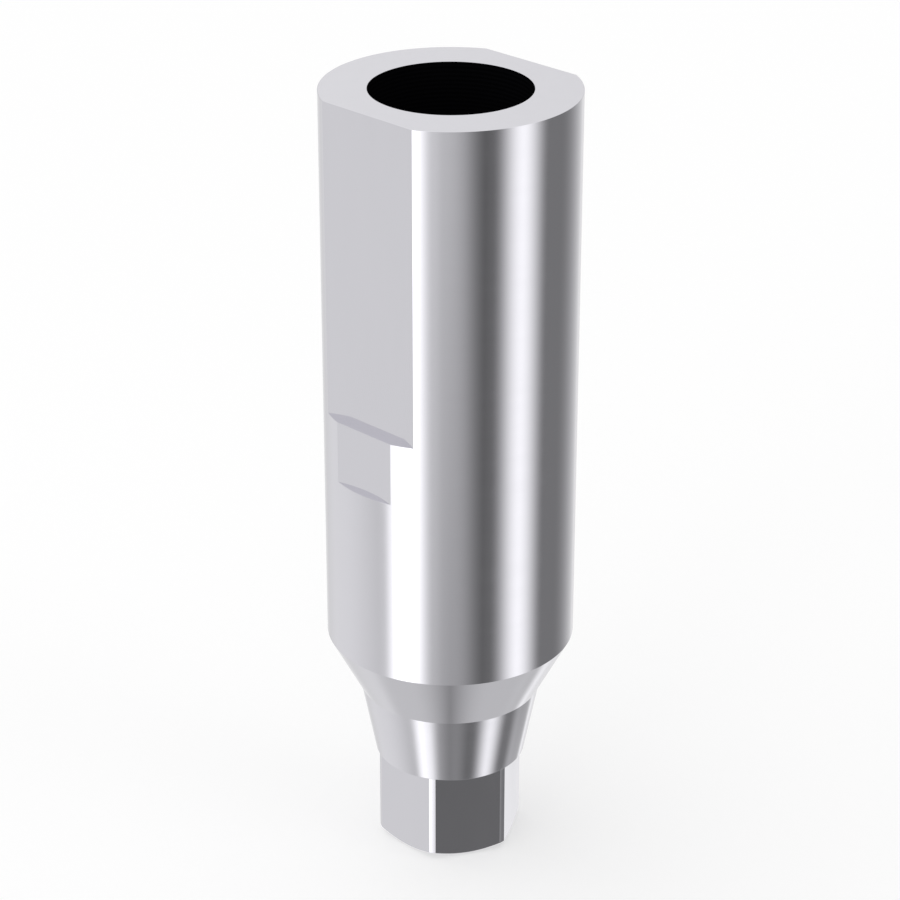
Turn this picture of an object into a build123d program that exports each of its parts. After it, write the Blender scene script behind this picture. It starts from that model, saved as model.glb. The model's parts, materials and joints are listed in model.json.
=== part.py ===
from build123d import *

import os
from math import radians, sqrt, tan

# Dental scan body: a marker post of one piece, turned from titanium bar and then milled.
# The head is a cylinder with two opposite flats and a wide screw bore. Under it a shoulder and
# a slim seat cone narrow the post to the hexagon that keys it into an implant.
# All sizes are in millimetres. The origin is the middle of the hexagon's end face and +Z runs
# up the axis to the head's top face. The stepped flat, which shows how the post is turned in
# the mouth, faces -Y.

# Head
head_diameter = 4.7
head_length = 10.75

# Flats on the head, cut in from its surface and down from its top face
front_flat_cut = 0.27
front_flat_length = 5.95
step_cut = 0.1
step_length = 1.2
rear_flat_cut = 0.27
rear_flat_length = 5.95

# Shoulder and seat cone
shoulder_length = 1.2
cone_length = 1.43
cone_half_angle = 11.0

# Index hexagon, its width measured across the faces
hex_width = 2.5
hex_length = 1.85
hex_corner_cut = 0.035
hex_chamfer_width = 0.26
hex_chamfer_angle = 30.0

# Screw channel: the bore takes the screw's head, the hole under its seat takes the shank
bore_diameter = 2.95
seat_rise = 1.15
seat_lead_in = 0.15
hex_wall = 0.3

# Broken edges round the top face and round the bore's mouth
rim_break = 0.02
mouth_break = 0.02

# Heights above the hexagon's end face
cone_end_z = hex_length
cone_top_z = cone_end_z + cone_length
head_base_z = cone_top_z + shoulder_length
head_top_z = head_base_z + head_length
seat_z = cone_top_z + seat_rise

# Radii. The cone's end just covers the hexagon's corners as they were before turning.
head_radius = head_diameter / 2
bore_radius = bore_diameter / 2
hex_sharp_radius = hex_width / sqrt(3)
hex_corner_radius = hex_sharp_radius - hex_corner_cut
hex_end_radius = hex_corner_radius - hex_chamfer_width
cone_top_radius = hex_sharp_radius + cone_length * tan(radians(cone_half_angle))
shank_hole_radius = hex_width / 2 - hex_wall


def turned(*outline):
    """A solid of revolution about the axis, from the (radius, height) corners of its half section."""
    half_section = make_face(Polyline((0, outline[0][1]), *outline, (0, outline[-1][1]), close=True))
    return revolve(Plane.XZ * half_section, Axis.Z)


def lathe_blank():
    """The post as it leaves the lathe, with a round stub where the hexagon will be."""
    chamfer_height = hex_chamfer_width * tan(radians(hex_chamfer_angle))
    return turned(
        (hex_end_radius, 0),
        (hex_corner_radius, chamfer_height),
        (hex_corner_radius, cone_end_z),
        (hex_sharp_radius, cone_end_z),
        (cone_top_radius, cone_top_z),
        (head_radius, head_base_z),
        (head_radius, head_top_z),
    )


def hexagon_waste():
    """The metal round the stub that milling takes off, leaving a face towards -Y."""
    waste = Circle(head_radius) - RegularPolygon(hex_width / 2, 6, major_radius=False)
    return extrude(waste, cone_end_z)


def flat_waste(cut, length, facing):
    """The metal milled off one side of the head, from its top face down to a square ledge."""
    slab = Box(head_diameter, cut, length, align=(Align.CENTER, Align.MIN, Align.MAX))
    return Plane((0, 0, head_top_z), x_dir=(facing, 0, 0)) * Pos(0, head_radius - cut, 0) * slab


def screw_channel():
    """The bore from the top face, its square seat with a lead-in, and the shank's hole below."""
    return turned(
        (shank_hole_radius, 0),
        (shank_hole_radius, seat_z - seat_lead_in),
        (shank_hole_radius + seat_lead_in, seat_z),
        (bore_radius, seat_z),
        (bore_radius, head_top_z),
    )


def break_top_edges(post):
    """The post with the sharp edges of its top face broken, outside and round the bore."""
    top_face = post.faces().sort_by(Axis.Z)[-1]
    post = chamfer(top_face.outer_wire().edges(), rim_break)
    top_face = post.faces().sort_by(Axis.Z)[-1]
    return chamfer(top_face.inner_wires()[0].edges(), mouth_break)


def scan_body():
    """The finished post, after the hexagon, the flats and the screw channel are cut."""
    towards_front = -1
    towards_rear = 1
    post = lathe_blank() - hexagon_waste()
    post -= flat_waste(front_flat_cut, front_flat_length, towards_front)
    post -= flat_waste(step_cut, front_flat_length + step_length, towards_front)
    post -= flat_waste(rear_flat_cut, rear_flat_length, towards_rear)
    post -= screw_channel()
    return break_top_edges(post)


os.makedirs("parts", exist_ok=True)
export_step(scan_body(), "parts/scan_body.step")
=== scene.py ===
import json
from collections import namedtuple
from math import cos, pi, radians, sin, sqrt, tan

import bmesh
import bpy
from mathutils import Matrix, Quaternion, Vector

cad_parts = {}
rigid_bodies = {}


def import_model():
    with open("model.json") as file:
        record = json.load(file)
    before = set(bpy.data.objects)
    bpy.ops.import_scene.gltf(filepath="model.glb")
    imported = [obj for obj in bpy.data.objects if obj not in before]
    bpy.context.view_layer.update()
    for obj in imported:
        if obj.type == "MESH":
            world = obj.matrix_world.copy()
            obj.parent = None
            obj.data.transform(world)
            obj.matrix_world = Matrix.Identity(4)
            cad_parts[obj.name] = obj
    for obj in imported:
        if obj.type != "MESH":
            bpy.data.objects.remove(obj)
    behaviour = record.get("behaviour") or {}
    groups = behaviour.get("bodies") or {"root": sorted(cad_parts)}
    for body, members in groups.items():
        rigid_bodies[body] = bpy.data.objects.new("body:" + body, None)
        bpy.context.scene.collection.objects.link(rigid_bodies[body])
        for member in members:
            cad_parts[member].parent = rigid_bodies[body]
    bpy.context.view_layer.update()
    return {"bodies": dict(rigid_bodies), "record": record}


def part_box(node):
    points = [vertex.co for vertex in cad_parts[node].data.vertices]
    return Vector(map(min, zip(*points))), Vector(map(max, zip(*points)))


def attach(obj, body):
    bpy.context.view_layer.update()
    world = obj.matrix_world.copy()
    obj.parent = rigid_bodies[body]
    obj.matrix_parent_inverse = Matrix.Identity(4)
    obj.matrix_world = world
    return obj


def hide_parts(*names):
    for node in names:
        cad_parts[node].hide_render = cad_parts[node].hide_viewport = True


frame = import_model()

bl_info = {
    "name": "Dental scan body",
    "version": (1, 0, 0),
    "blender": (4, 5, 0),
    "location": "3D View > Sidebar > Scan Body",
    "description": "Turns, mills and finishes a titanium scan body and sets it up in a soft studio",
    "category": "Object",
}

# The post stands on the middle of its hexagon's end face, +Z runs up its axis and the stepped
# flat looks towards -Y. All lengths are in metres.
MILLIMETRE = 0.001
NODE = "scan_body"
BODY = next(iter(frame["bodies"]))
mounts = {mount["name"]: mount for mount in frame["record"]["mounts"]}
head_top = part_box(NODE)[1].z

# How finely round surfaces are divided, and how near two points are the same one
ROUND_STEPS = 360
SAME_POINT = 1e-7
# How far a cutter reaches past what it cuts
OVERRUN = 0.5 * MILLIMETRE
# Edges that turn by less than this are part of one smooth surface
SMOOTH_ANGLE = radians(12)
# Outer edges that turn by more than this are sharp, and get broken
SHARP_ANGLE = radians(60)
# How nearly a face has to look along a direction to count as square to it
SQUARE = 0.9999

# How many steps round off a broken edge
BREAK_STEPS = 2
# The hexagon is turned by half a side, so that one of its faces looks towards -Y
HEXAGON_SIDES = 6
HEXAGON_TURN = pi / HEXAGON_SIDES

FRONT, REAR = -1, 1


def bore_radius(name):
    """The radius of one of the record's bores."""
    return mounts[name]["dims"]["r_mm"] * MILLIMETRE


def length_property(name, description, millimetres):
    """A length in the add-on's panel, given here in millimetres."""
    return bpy.props.FloatProperty(
        name=name,
        description=description,
        default=millimetres * MILLIMETRE,
        precision=5,
        unit="LENGTH",
    )


def angle_property(name, description, degrees):
    """An angle in the add-on's panel, given here in degrees."""
    return bpy.props.FloatProperty(
        name=name, description=description, default=radians(degrees), unit="ROTATION"
    )


def level_property(name, description, default, top=2.0):
    """A plain number from nothing to top, such as a roughness or a brightness."""
    return bpy.props.FloatProperty(name=name, description=description, default=default, min=0, max=top)


def colour_property(name, description, default):
    """A colour in the add-on's panel."""
    return bpy.props.FloatVectorProperty(
        name=name, description=description, default=default, min=0, max=1, size=3, subtype="COLOR"
    )


class PostSizes(bpy.types.PropertyGroup):
    """The post's own sizes"""

    head_diameter: length_property("Head diameter", "Across the round head", 4.7)
    flat_cut: length_property("Flat depth", "Cut in from the head's surface, front and rear", 0.27)
    flat_length: length_property("Flat length", "Down from the top face to the ledge", 5.95)
    step_cut: length_property("Step depth", "Cut in under the front flat", 0.1)
    step_length: length_property("Step length", "From the front flat's ledge down to the step's own", 1.2)
    head_base: length_property("Head base", "Height where the head meets the shoulder", 4.48)
    cone_top: length_property("Cone top", "Height where the shoulder meets the seat cone", 3.28)
    cone_angle: angle_property("Cone half angle", "Of the seat cone", 11)
    hexagon_width: length_property("Hexagon width", "Across the index hexagon's faces", 2.5)
    hexagon_length: length_property("Hexagon length", "From the end face to the seat cone", 1.85)
    corner_cut: length_property("Corner cut", "Turned off each corner of the hexagon", 0.035)
    chamfer_width: length_property("End chamfer", "Width of the chamfer round the end face", 0.26)
    chamfer_angle: angle_property("End chamfer angle", "From the end face", 30)
    lead_in: length_property("Lead-in", "Chamfer from the screw seat to the shank's hole", 0.15)
    edge_break: length_property("Edge break", "Taken off every sharp outer edge", 0.006)


class PostFinish(bpy.types.PropertyGroup):
    """The post's colours and surface finish"""

    titanium: colour_property("Titanium", "Colour of the bare polished metal", (0.8, 0.792, 0.838))
    # Painted shade: the metal's colour is darker at the bottom of every cutter's groove
    groove_shade: level_property(
        "Groove shade", "How bright the metal is at the bottom of a cutter's mark", 0.97, 1.0
    )
    turned_roughness: level_property("Turned roughness", "Of the head, shoulder and cone", 0.1, 1.0)
    milled_roughness: level_property(
        "Milled roughness", "Of the flats, the ledges and the hexagon", 0.11, 1.0
    )
    faced_roughness: level_property("Faced roughness", "Of the top, the seat and the end face", 0.12, 1.0)
    feed: length_property("Feed", "Distance between the marks of the lathe's tool", 0.03)
    sweep: length_property("Sweep", "Distance between the arcs of the milling cutter", 0.045)
    mark_depth: length_property("Mark depth", "Height of the ridges that a cutter leaves", 0.0001)
    # The screw channel's colour is painted shade: near-black, as the deep bore keeps the light out
    channel: colour_property("Screw channel", "Colour of the blackened screw channel", (0.004, 0.004, 0.005))
    channel_roughness: level_property("Channel roughness", "Of the screw channel", 0.6, 1.0)
    channel_feed: length_property("Channel feed", "Distance between the boring tool's marks", 0.08)
    channel_mark_depth: length_property("Channel mark depth", "Height of the boring tool's ridges", 0.001)


class StudioSettings(bpy.types.PropertyGroup):
    """The floor, the lamp and the camera"""

    floor: colour_property("Floor", "Colour of the floor", (0.58, 0.58, 0.58))
    floor_glow: level_property(
        "Floor glow", "How far the floor is lit from inside, which thins the shadow", 0.455, 1.0
    )
    backdrop: colour_property("Backdrop", "Colour of the backdrop behind the floor", (0.993, 0.993, 0.993))
    reach: length_property("Reach", "Radius of the floor and the backdrop", 350)
    lamp_power: level_property("Lamp", "Strength of the soft lamp overhead", 0.35)
    lamp_spread: angle_property("Lamp spread", "How soft the lamp's shadow is", 70)
    lamp_tilt: angle_property("Lamp tilt", "Away from straight overhead", 35)
    lamp_bearing: angle_property("Lamp bearing", "Round the post", -60)
    camera_lens: bpy.props.FloatProperty(
        name="Lens", description="Focal length on the sensor", default=114, unit="CAMERA"
    )
    camera_sensor: bpy.props.FloatProperty(
        name="Sensor", description="Width of the sensor", default=36, unit="CAMERA"
    )
    camera_bearing: angle_property("Bearing", "Round the post from its front, towards +X", 44)
    camera_elevation: angle_property("Elevation", "Above the floor", 25.65)
    camera_distance: length_property("Distance", "From the point that it looks at", 53.1)
    camera_aim: length_property("Aim", "Height on the axis that the camera looks at", 8.173)
    camera_roll: angle_property("Roll", "Turn of the camera about its own view", 0.07)
    camera_pan: bpy.props.FloatProperty(
        name="Pan",
        description="Sideways shift, as a part of the picture's width",
        default=-0.0005,
        precision=4,
    )


# Modelling

def deselect_all():
    """Leaves nothing selected, in object mode."""
    if bpy.context.mode != "OBJECT":
        bpy.ops.object.mode_set(mode="OBJECT")
    bpy.ops.object.select_all(action="DESELECT")


def make_active(piece):
    """Selects one object alone."""
    deselect_all()
    piece.select_set(True)
    bpy.context.view_layer.objects.active = piece


def join_points():
    """Makes one point of those that lie together on the active object, which also closes slivers."""
    bpy.ops.mesh.select_all(action="SELECT")
    bpy.ops.mesh.remove_doubles(threshold=SAME_POINT)


def turning_outline(sizes):
    """The (radius, height) corners of the post's closed half section, round from the shank's hole."""
    bore = bore_radius("screw_bore")
    hole = bore_radius("shank_hole")
    seat = mounts["screw_seat"]["pos_m"][2]
    sharp = sizes.hexagon_width / sqrt(3)
    corner = sharp - sizes.corner_cut
    end = corner - sizes.chamfer_width
    cone_top = sharp + (sizes.cone_top - sizes.hexagon_length) * tan(sizes.cone_angle)
    head = sizes.head_diameter / 2
    return [
        (hole, 0),
        (end, 0),
        (corner, sizes.chamfer_width * tan(sizes.chamfer_angle)),
        (corner, sizes.hexagon_length),
        (sharp, sizes.hexagon_length),
        (cone_top, sizes.cone_top),
        (head, sizes.head_base),
        (head, head_top),
        (bore, head_top),
        (bore, seat),
        (hole + sizes.lead_in, seat),
        (hole, seat - sizes.lead_in),
        (hole, 0),
    ]


def turn_blank(sizes):
    """The post as it leaves the lathe: one ring drawn on to the next along its outline."""
    outline = turning_outline(sizes)
    deselect_all()
    bpy.ops.mesh.primitive_circle_add(vertices=ROUND_STEPS, radius=outline[0][0])
    blank = bpy.context.object
    bpy.ops.object.mode_set(mode="EDIT")
    for (radius, height), (next_radius, next_height) in zip(outline, outline[1:]):
        bpy.ops.mesh.extrude_edges_move(TRANSFORM_OT_translate={"value": (0, 0, next_height - height)})
        scale = next_radius / radius
        bpy.ops.transform.resize(value=(scale, scale, 1), center_override=(0, 0, next_height))
    join_points()
    bpy.ops.mesh.normals_make_consistent(inside=False)
    bpy.ops.object.mode_set(mode="OBJECT")
    blank.name = blank.data.name = "titanium_post"
    return blank


def cut_away(post, cutter):
    """Takes one cutter's solid off the post."""
    make_active(post)
    cut = post.modifiers.new("cut", "BOOLEAN")
    cut.operation = "DIFFERENCE"
    cut.solver = "EXACT"
    cut.object = cutter
    bpy.ops.object.modifier_apply(modifier=cut.name)
    bpy.data.objects.remove(cutter)
    bpy.ops.object.mode_set(mode="EDIT")
    join_points()
    bpy.ops.object.mode_set(mode="OBJECT")


def hexagon_cutter(sizes):
    """A ring with a hexagonal hole, from under the end face up to the seat cone."""
    deselect_all()
    inner = sizes.hexagon_width / sqrt(3)
    outer = sizes.head_diameter
    bpy.ops.mesh.primitive_circle_add(
        vertices=HEXAGON_SIDES, radius=inner, location=(0, 0, -OVERRUN), rotation=(0, 0, HEXAGON_TURN)
    )
    bpy.ops.object.transform_apply()
    cutter = bpy.context.object
    bpy.ops.object.mode_set(mode="EDIT")
    bpy.ops.mesh.extrude_edges_move(TRANSFORM_OT_translate={"value": (0, 0, 0)})
    scale = outer / inner
    bpy.ops.transform.resize(value=(scale, scale, 1), center_override=(0, 0, 0))
    bpy.ops.mesh.select_all(action="SELECT")
    rise = sizes.hexagon_length + OVERRUN
    bpy.ops.mesh.extrude_region_move(TRANSFORM_OT_translate={"value": (0, 0, rise)})
    bpy.ops.mesh.select_all(action="SELECT")
    bpy.ops.mesh.normals_make_consistent(inside=False)
    bpy.ops.object.mode_set(mode="OBJECT")
    return cutter


def flat_cutter(sizes, cut, length, side):
    """A block over one side of the head, from the ledge up past the top face."""
    deselect_all()
    near = sizes.head_diameter / 2 - cut
    far = sizes.head_diameter / 2 + OVERRUN
    low = head_top - length
    high = head_top + OVERRUN
    bpy.ops.mesh.primitive_cube_add(
        size=1,
        location=(0, side * (near + far) / 2, (low + high) / 2),
        scale=(sizes.head_diameter + OVERRUN, far - near, high - low),
    )
    bpy.ops.object.transform_apply()
    return bpy.context.object


def mill_flats(post, sizes):
    """The front flat with the step under it, and the plain flat on the rear."""
    cut_away(post, flat_cutter(sizes, sizes.flat_cut, sizes.flat_length, FRONT))
    cut_away(post, flat_cutter(sizes, sizes.step_cut, sizes.flat_length + sizes.step_length, FRONT))
    cut_away(post, flat_cutter(sizes, sizes.flat_cut, sizes.flat_length, REAR))


def break_edges(post, sizes):
    """Takes the sharpness off every outer edge between two finished surfaces."""
    make_active(post)
    bpy.ops.object.mode_set(mode="EDIT")
    bpy.ops.mesh.select_mode(type="EDGE")
    bpy.ops.mesh.select_all(action="DESELECT")
    mesh = bmesh.from_edit_mesh(post.data)
    for edge in mesh.edges:
        edge.select_set(edge.is_convex and edge.calc_face_angle() > SHARP_ANGLE)
    bmesh.update_edit_mesh(post.data)
    bpy.ops.mesh.bevel(
        offset=sizes.edge_break, segments=BREAK_STEPS, affect="EDGES", clamp_overlap=False
    )
    bpy.ops.object.mode_set(mode="OBJECT")


# Materials

# The length of one ridge of a wave texture whose scale is 1
RIDGE = pi / 10
# The haze that polishing leaves: how many of a cutter's marks one cloud of it covers, how fine it
# is, the noise values between which it works, and how far it moves the roughness up and down
HAZE_SPAN = 8
HAZE_DETAIL = 3
HAZE_RANGE = (0.3, 0.7)
ROUGHNESS_SWING = 0.25
# How the haze is drawn out along a turned face and along a milled one
DRAWN_ROUND = (0.05, 0.05, 1)
DRAWN_DOWN = (1, 1, 0.2)
# The metal's colour is darkest where ridge and haze together are low, and full above: painted shade at the
# bottom of the cutter's grooves, with the haze's random tone
GROOVE_SHADE_AND_TONE_RANGE = (0.3, 1.2)
DEEPEST_GROOVE_SHADE_AND_TONE = 0.25
# How bright the channel's near-black painted shade is at the bottom of a mark, as deeper painted shade in
# each groove
CHANNEL_GROOVE_SHADE = 0.5
# How far aside the milling cutter's arcs have their centre, in head diameters
CUTTER_SWING = 2


def new_material(name):
    """An empty node material, its node tree and its shader."""
    material = bpy.data.materials.new(name)
    material.use_nodes = True
    return material, material.node_tree, material.node_tree.nodes["Principled BSDF"]


def put(tree, socket, value):
    """Links a socket to another one, or sets its plain value."""
    if isinstance(value, bpy.types.NodeSocket):
        tree.links.new(value, socket)
    else:
        socket.default_value = value


def math_node(tree, operation, *values):
    """The output of one arithmetic node, whose inputs are sockets or plain numbers."""
    node = tree.nodes.new("ShaderNodeMath")
    node.operation = operation
    for socket, value in zip(node.inputs, values):
        put(tree, socket, value)
    return node.outputs["Value"]


def vector_node(tree, operation, first, second=None):
    """One vector arithmetic node, with a socket and a plain vector as its inputs."""
    node = tree.nodes.new("ShaderNodeVectorMath")
    node.operation = operation
    put(tree, node.inputs[0], first)
    if second is not None:
        put(tree, node.inputs[1], second)
    return node


def spread(tree, value, low, high, start=0.0, end=1.0, soft=False):
    """A value taken from one range to another."""
    node = tree.nodes.new("ShaderNodeMapRange")
    node.interpolation_type = "SMOOTHSTEP" if soft else "LINEAR"
    for name, plain in (("From Min", start), ("From Max", end), ("To Min", low), ("To Max", high)):
        node.inputs[name].default_value = plain
    put(tree, node.inputs["Value"], value)
    return node.outputs["Result"]


def cutter_marks(tree, place, rings, spacing):
    """The evenly spaced ridges that a cutter leaves: straight up the axis, or round a centre."""
    wave = tree.nodes.new("ShaderNodeTexWave")
    wave.wave_type = "RINGS" if rings else "BANDS"
    wave.bands_direction = "Z"
    wave.rings_direction = rings or "Z"
    wave.inputs["Scale"].default_value = RIDGE / spacing
    put(tree, wave.inputs["Vector"], place)
    return wave.outputs["Fac"]


def haze(tree, place, size, stretch):
    """A soft random pattern, as polishing leaves, drawn out along the marks."""
    noise = tree.nodes.new("ShaderNodeTexNoise")
    noise.inputs["Scale"].default_value = 1 / size
    noise.inputs["Detail"].default_value = HAZE_DETAIL
    put(tree, noise.inputs["Vector"], vector_node(tree, "MULTIPLY", place, stretch).outputs["Vector"])
    return noise.outputs["Fac"]


def ridged_metal(name, finish, roughness, spacing, rings=None, centre=(0, 0, 0), stretch=(1, 1, 1)):
    """Bare polished metal under a cutter's fine marks: their ridges, their bottoms darkened by painted
    shade, and a haze of random tone and roughness.
    """
    material, tree, shader = new_material(name)
    shader.inputs["Metallic"].default_value = 1
    own_place = tree.nodes.new("ShaderNodeTexCoord").outputs["Object"]
    place = vector_node(tree, "SUBTRACT", own_place, centre).outputs["Vector"]
    ridges = cutter_marks(tree, place, rings, spacing)
    cloud = haze(tree, own_place, HAZE_SPAN * spacing, stretch)
    tint = tree.nodes.new("ShaderNodeMix")
    tint.data_type = "RGBA"
    colours = [socket for socket in tint.inputs if socket.type == "RGBA"]
    colours[0].default_value = (*(channel * finish.groove_shade for channel in finish.titanium), 1)
    colours[1].default_value = (*finish.titanium, 1)
    # Painted shade darkens the colour in the cutter's grooves, and the haze adds a random tone
    groove_shade_and_tone = spread(tree, math_node(tree, "ADD", ridges, cloud), DEEPEST_GROOVE_SHADE_AND_TONE, 1.0, *GROOVE_SHADE_AND_TONE_RANGE)
    put(tree, tint.inputs["Factor"], groove_shade_and_tone)
    put(tree, shader.inputs["Base Color"], [socket for socket in tint.outputs if socket.type == "RGBA"][0])
    dull, bright = roughness * (1 + ROUGHNESS_SWING), roughness * (1 - ROUGHNESS_SWING)
    put(tree, shader.inputs["Roughness"], spread(tree, cloud, dull, bright, *HAZE_RANGE))
    bump = tree.nodes.new("ShaderNodeBump")
    bump.inputs["Distance"].default_value = finish.mark_depth
    put(tree, bump.inputs["Height"], ridges)
    put(tree, shader.inputs["Normal"], bump.outputs["Normal"])
    return material


def paint_channel_shade(finish):
    """The screw channel's wall in near-black painted shade, as the deep bore keeps light out, with deeper
    painted shade in the boring tool's grooves.
    """
    material, tree, shader = new_material("channel_painted_shade")
    shader.inputs["Roughness"].default_value = finish.channel_roughness
    shader.inputs["Specular IOR Level"].default_value = 0
    place = tree.nodes.new("ShaderNodeTexCoord").outputs["Object"]
    ridges = cutter_marks(tree, place, None, finish.channel_feed)
    # Painted shade: the channel's near-black is darker still at the bottom of each of the boring tool's
    # grooves
    tint = tree.nodes.new("ShaderNodeMix")
    tint.data_type = "RGBA"
    colours = [socket for socket in tint.inputs if socket.type == "RGBA"]
    colours[0].default_value = (*(channel * CHANNEL_GROOVE_SHADE for channel in finish.channel), 1)
    colours[1].default_value = (*finish.channel, 1)
    put(tree, tint.inputs["Factor"], ridges)
    put(tree, shader.inputs["Base Color"], [socket for socket in tint.outputs if socket.type == "RGBA"][0])
    bump = tree.nodes.new("ShaderNodeBump")
    bump.inputs["Distance"].default_value = finish.channel_mark_depth
    put(tree, bump.inputs["Height"], ridges)
    put(tree, shader.inputs["Normal"], bump.outputs["Normal"])
    return material


def finish_name(face, sizes):
    """Which finish a face of the post has, from where it lies and which way it looks."""
    normal, middle = face.normal, face.center
    outwards = normal.x * middle.x + normal.y * middle.y
    if abs(normal.z) > SQUARE:
        on_ledge = normal.z > 0 and sizes.head_base < middle.z < head_top - OVERRUN
        return "milled" if on_ledge and abs(middle.y) > bore_radius("screw_bore") else "faced"
    if outwards < 0:
        return "channel"
    flats_reach = sizes.head_diameter / 2 - sizes.flat_cut - SAME_POINT
    on_flat = abs(normal.y) > SQUARE and outwards > flats_reach
    on_hexagon = abs(normal.z) < 1 - SQUARE and middle.z < sizes.hexagon_length
    on_hexagon = on_hexagon and outwards < sizes.hexagon_width / 2 + SAME_POINT
    return "milled" if on_flat or on_hexagon else "turned"


def finish_surfaces(post, sizes, finish):
    """Gives every face of the post the finish that its tool leaves, and the screw channel its painted shade.
    """
    cutter_centre = (-CUTTER_SWING * sizes.head_diameter, 0, head_top - sizes.flat_length / 2)
    turned = ridged_metal(
        "turned_titanium", finish, finish.turned_roughness, finish.feed, stretch=DRAWN_ROUND
    )
    milled = ridged_metal(
        "milled_titanium", finish, finish.milled_roughness, finish.sweep,
        rings="SPHERICAL", centre=cutter_centre, stretch=DRAWN_DOWN,
    )
    faced = ridged_metal("faced_titanium", finish, finish.faced_roughness, finish.feed, rings="Z")
    materials = {"turned": turned, "milled": milled, "faced": faced, "channel": paint_channel_shade(finish)}
    for material in materials.values():
        post.data.materials.append(material)
    names = list(materials)
    for face in post.data.polygons:
        face.material_index = names.index(finish_name(face, sizes))


class MakePost(bpy.types.Operator):
    """Turns the post, mills its hexagon and flats, breaks its edges and finishes its surfaces"""

    bl_idname = "scan_body.make_post"
    bl_label = "Make Post"
    bl_options = {"REGISTER", "UNDO"}

    def execute(self, context):
        sizes = context.scene.scan_body_sizes
        post = turn_blank(sizes)
        cut_away(post, hexagon_cutter(sizes))
        mill_flats(post, sizes)
        break_edges(post, sizes)
        bpy.ops.object.shade_smooth_by_angle(angle=SMOOTH_ANGLE)
        finish_surfaces(post, sizes, context.scene.scan_body_finish)
        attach(post, BODY)
        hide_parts(NODE)
        return {"FINISHED"}


# Stage

# How finely the floor's and the backdrop's round edges are divided
FLOOR_STEPS = 96
BACKDROP_STEPS = 64
# How far the camera sees, as a share of the backdrop's radius
SIGHT = 3

# A soft light, a wall or a flag of the studio, painted on the surroundings round the post. Its
# bearing is measured from the camera's, to the right as seen from the post. Where it has a start
# and an end, it comes in softly between those two elevations. All of these are in degrees.
StudioPanel = namedtuple(
    "StudioPanel", "name bearing half_width softness brightness start end", defaults=(None, None)
)

STUDIO_WALL = 0.8
STUDIO_PANELS = (
    StudioPanel("grey card beside the key light", -70, 0, 45, 0.5),
    StudioPanel("front wall", 70, 95, 10, 0.65),
    StudioPanel("dark wall on the right", 100, 70, 20, 0.2),
    StudioPanel("black flag", 30, 15, 20, 0.11),
    StudioPanel("fill light", 65, 14, 15, 1.2),
    StudioPanel("edge of the key light", -25, 15, 5, 0.75),
    StudioPanel("key light", -40, 15, 10, 1.8),
    StudioPanel("veil over the key light's upper part", -50, 10, 5, 1.0, -25, -20),
    StudioPanel("rear wall", -155, 10, 15, 0.7),
    StudioPanel("back light", 160, 10, 40, 1.1),
    StudioPanel("pale ground on the right", 125, 15, 10, 0.65, -35, -50),
    StudioPanel("white card low behind", 150, 5, 5, 1.0, -30, -32),
)

# A dark strip of ground runs from under the camera to the post. Its width and reach are parts of
# a direction: 0 is in line with the camera, 1 square to it.
STRIP_HALF_WIDTH = 0.3
STRIP_SOFTNESS = 0.5
STRIP_BRIGHTNESS = 0.2
STRIP_ENDS = (-0.6, 0.1)
STRIP_ELEVATIONS = (-10, -50)

# The ground under the post, from its left to its right, and the dark spot in its middle
GROUND_LEFT, GROUND_RIGHT = 0.62, 0.58
GROUND_SIDES = (-0.2, 0.3)
GROUND_ELEVATIONS = (-55, -65)
SPOT_HALF_WIDTH = 0.05
SPOT_SOFTNESS = 0.25
SPOT_BRIGHTNESS = 0.1

# Level with the post the studio is darker, so that its outline shows against the pale backdrop
HORIZON_SHADE = 0.75
UNDER_HORIZON = (-17.5, -8)
OVER_HORIZON = (16.5, 8)

CEILING_BRIGHTNESS = 0.95
CEILING_ELEVATIONS = (30, 50)


def share_towards(tree, direction, vector):
    """How much of a direction points along a fixed vector."""
    return vector_node(tree, "DOT_PRODUCT", direction, vector).outputs["Value"]


def soft_step(tree, value, start, end):
    """A value that rises softly from 0 at start to 1 at end."""
    return spread(tree, value, 0.0, 1.0, start, end, soft=True)


def within(tree, distance, half_width, softness):
    """1 inside a width, falling softly to 0 outside it."""
    return soft_step(tree, distance, half_width + softness, half_width - softness)


def blend(tree, share, under, over):
    """One brightness laid over another by its share."""
    node = tree.nodes.new("ShaderNodeMix")
    put(tree, node.inputs["Factor"], share)
    put(tree, node.inputs["A"], under)
    put(tree, node.inputs["B"], over)
    return node.outputs["Result"]


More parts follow.
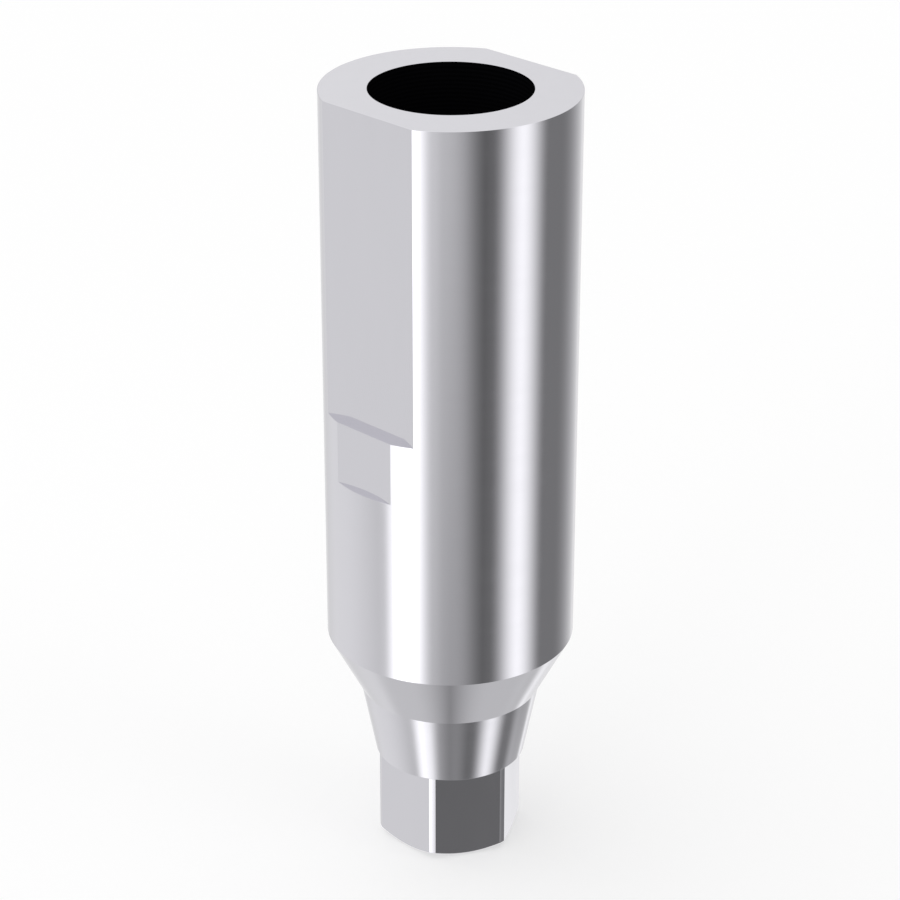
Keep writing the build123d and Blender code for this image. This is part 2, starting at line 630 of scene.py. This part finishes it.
def paint_studio(camera_angle):
    """The surroundings that the metal mirrors: walls, soft lights and flags round the post."""
    world = bpy.data.worlds.new("studio")
    bpy.context.scene.world = world
    world.use_nodes = True
    tree = world.node_tree
    place = tree.nodes.new("ShaderNodeTexCoord").outputs["Generated"]
    level = vector_node(tree, "MULTIPLY", place, (1, 1, 0)).outputs["Vector"]
    bearing = vector_node(tree, "NORMALIZE", level).outputs["Vector"]
    height = share_towards(tree, place, (0, 0, 1))
    side = share_towards(tree, place, (-sin(camera_angle), cos(camera_angle), 0))
    ahead = share_towards(tree, place, (cos(camera_angle), sin(camera_angle), 0))

    def between(start, end):
        return soft_step(tree, height, sin(radians(start)), sin(radians(end)))

    brightness = STUDIO_WALL
    for panel in STUDIO_PANELS:
        angle = camera_angle + radians(panel.bearing)
        away = math_node(tree, "ARCCOSINE", share_towards(tree, bearing, (cos(angle), sin(angle), 0)))
        share = within(tree, away, radians(panel.half_width), radians(panel.softness))
        if panel.start is not None:
            share = math_node(tree, "MULTIPLY", share, between(panel.start, panel.end))
        brightness = blend(tree, share, brightness, panel.brightness)

    horizon = math_node(tree, "MULTIPLY", between(*UNDER_HORIZON), between(*OVER_HORIZON))
    brightness = math_node(tree, "MULTIPLY", brightness, spread(tree, horizon, 1.0, HORIZON_SHADE))

    aside = math_node(tree, "ABSOLUTE", side)
    strip = within(tree, aside, STRIP_HALF_WIDTH, STRIP_SOFTNESS)
    strip = math_node(tree, "MULTIPLY", strip, soft_step(tree, ahead, *STRIP_ENDS))
    strip = math_node(tree, "MULTIPLY", strip, between(*STRIP_ELEVATIONS))
    brightness = blend(tree, strip, brightness, STRIP_BRIGHTNESS)

    ground = spread(tree, side, GROUND_LEFT, GROUND_RIGHT, *GROUND_SIDES, soft=True)
    ground = blend(tree, within(tree, aside, SPOT_HALF_WIDTH, SPOT_SOFTNESS), ground, SPOT_BRIGHTNESS)
    brightness = blend(tree, between(*GROUND_ELEVATIONS), brightness, ground)

    brightness = blend(tree, between(*CEILING_ELEVATIONS), brightness, CEILING_BRIGHTNESS)
    put(tree, tree.nodes["Background"].inputs["Color"], brightness)


def keep_off_the_metal(thing):
    """The metal mirrors the painted studio and not this."""
    thing.visible_glossy = False


def lay_floor(studio):
    """A round pale floor under the post."""
    deselect_all()
    bpy.ops.mesh.primitive_circle_add(vertices=FLOOR_STEPS, radius=studio.reach, fill_type="NGON")
    floor = bpy.context.object
    floor.name = floor.data.name = "floor"
    material, tree, shader = new_material("pale_floor")
    shader.inputs["Base Color"].default_value = (*studio.floor, 1)
    shader.inputs["Roughness"].default_value = 1
    shader.inputs["Specular IOR Level"].default_value = 0
    shader.inputs["Emission Color"].default_value = (1, 1, 1, 1)
    shader.inputs["Emission Strength"].default_value = studio.floor_glow
    floor.data.materials.append(material)
    keep_off_the_metal(floor)
    floor.visible_shadow = False


def hang_backdrop(studio):
    """A pale dome round the floor, which only the camera sees."""
    deselect_all()
    bpy.ops.mesh.primitive_uv_sphere_add(
        segments=BACKDROP_STEPS, ring_count=BACKDROP_STEPS // 2, radius=studio.reach
    )
    dome = bpy.context.object
    dome.name = dome.data.name = "backdrop"
    material, tree, shader = new_material("pale_backdrop")
    shader.inputs["Base Color"].default_value = (0, 0, 0, 1)
    shader.inputs["Specular IOR Level"].default_value = 0
    shader.inputs["Emission Color"].default_value = (*studio.backdrop, 1)
    shader.inputs["Emission Strength"].default_value = 1
    dome.data.materials.append(material)
    keep_off_the_metal(dome)
    dome.visible_diffuse = False
    dome.visible_shadow = False
    dome.visible_transmission = False


def hang_lamp(studio):
    """A broad soft lamp that gives the post its shadow on the floor."""
    deselect_all()
    bpy.ops.object.light_add(type="SUN", rotation=(studio.lamp_tilt, 0, studio.lamp_bearing))
    lamp = bpy.context.object
    lamp.name = lamp.data.name = "overhead_lamp"
    lamp.data.energy = studio.lamp_power
    lamp.data.angle = studio.lamp_spread
    keep_off_the_metal(lamp)


def place_camera(studio, backward):
    """The camera, at the photograph's place and angle."""
    deselect_all()
    aim = Vector((0, 0, studio.camera_aim))
    turn = (-backward).to_track_quat("-Z", "Y") @ Quaternion((0, 0, 1), studio.camera_roll)
    bpy.ops.object.camera_add(location=aim + backward * studio.camera_distance, rotation=turn.to_euler())
    camera = bpy.context.object
    camera.name = camera.data.name = "camera"
    camera.data.lens = studio.camera_lens
    camera.data.sensor_width = studio.camera_sensor
    camera.data.shift_x = studio.camera_pan
    camera.data.clip_start = MILLIMETRE
    camera.data.clip_end = SIGHT * studio.reach
    bpy.context.scene.camera = camera


class SetStage(bpy.types.Operator):
    """Lays the floor, hangs the backdrop and the lamp, paints the studio and places the camera"""

    bl_idname = "scan_body.set_stage"
    bl_label = "Set Stage"
    bl_options = {"REGISTER", "UNDO"}

    def execute(self, context):
        studio = context.scene.scan_body_studio
        bearing, elevation = studio.camera_bearing, studio.camera_elevation
        backward = Vector((sin(bearing) * cos(elevation), -cos(bearing) * cos(elevation), sin(elevation)))
        paint_studio(bearing - pi / 2)
        lay_floor(studio)
        hang_backdrop(studio)
        hang_lamp(studio)
        place_camera(studio, backward)
        context.scene.view_settings.view_transform = "Standard"
        return {"FINISHED"}


class ScanBodyPanel(bpy.types.Panel):
    """The post's sizes and finish, the studio, and the operators that make them"""

    bl_idname = "VIEW3D_PT_scan_body"
    bl_label = "Scan Body"
    bl_space_type = "VIEW_3D"
    bl_region_type = "UI"
    bl_category = "Scan Body"

    def draw(self, context):
        scene = context.scene
        for group, operator in (
            (scene.scan_body_sizes, None),
            (scene.scan_body_finish, MakePost),
            (scene.scan_body_studio, SetStage),
        ):
            column = self.layout.column()
            for name in group.__annotations__:
                column.prop(group, name)
            if operator:
                self.layout.operator(operator.bl_idname)


CLASSES = (PostSizes, PostFinish, StudioSettings, MakePost, SetStage, ScanBodyPanel)


def register():
    for cls in CLASSES:
        bpy.utils.register_class(cls)
    bpy.types.Scene.scan_body_sizes = bpy.props.PointerProperty(type=PostSizes)
    bpy.types.Scene.scan_body_finish = bpy.props.PointerProperty(type=PostFinish)
    bpy.types.Scene.scan_body_studio = bpy.props.PointerProperty(type=StudioSettings)


def unregister():
    del bpy.types.Scene.scan_body_studio
    del bpy.types.Scene.scan_body_finish
    del bpy.types.Scene.scan_body_sizes
    for cls in reversed(CLASSES):
        bpy.utils.unregister_class(cls)


def main():
    register()
    bpy.ops.scan_body.make_post()
    bpy.ops.scan_body.set_stage()


if __name__ == "__main__":
    main()
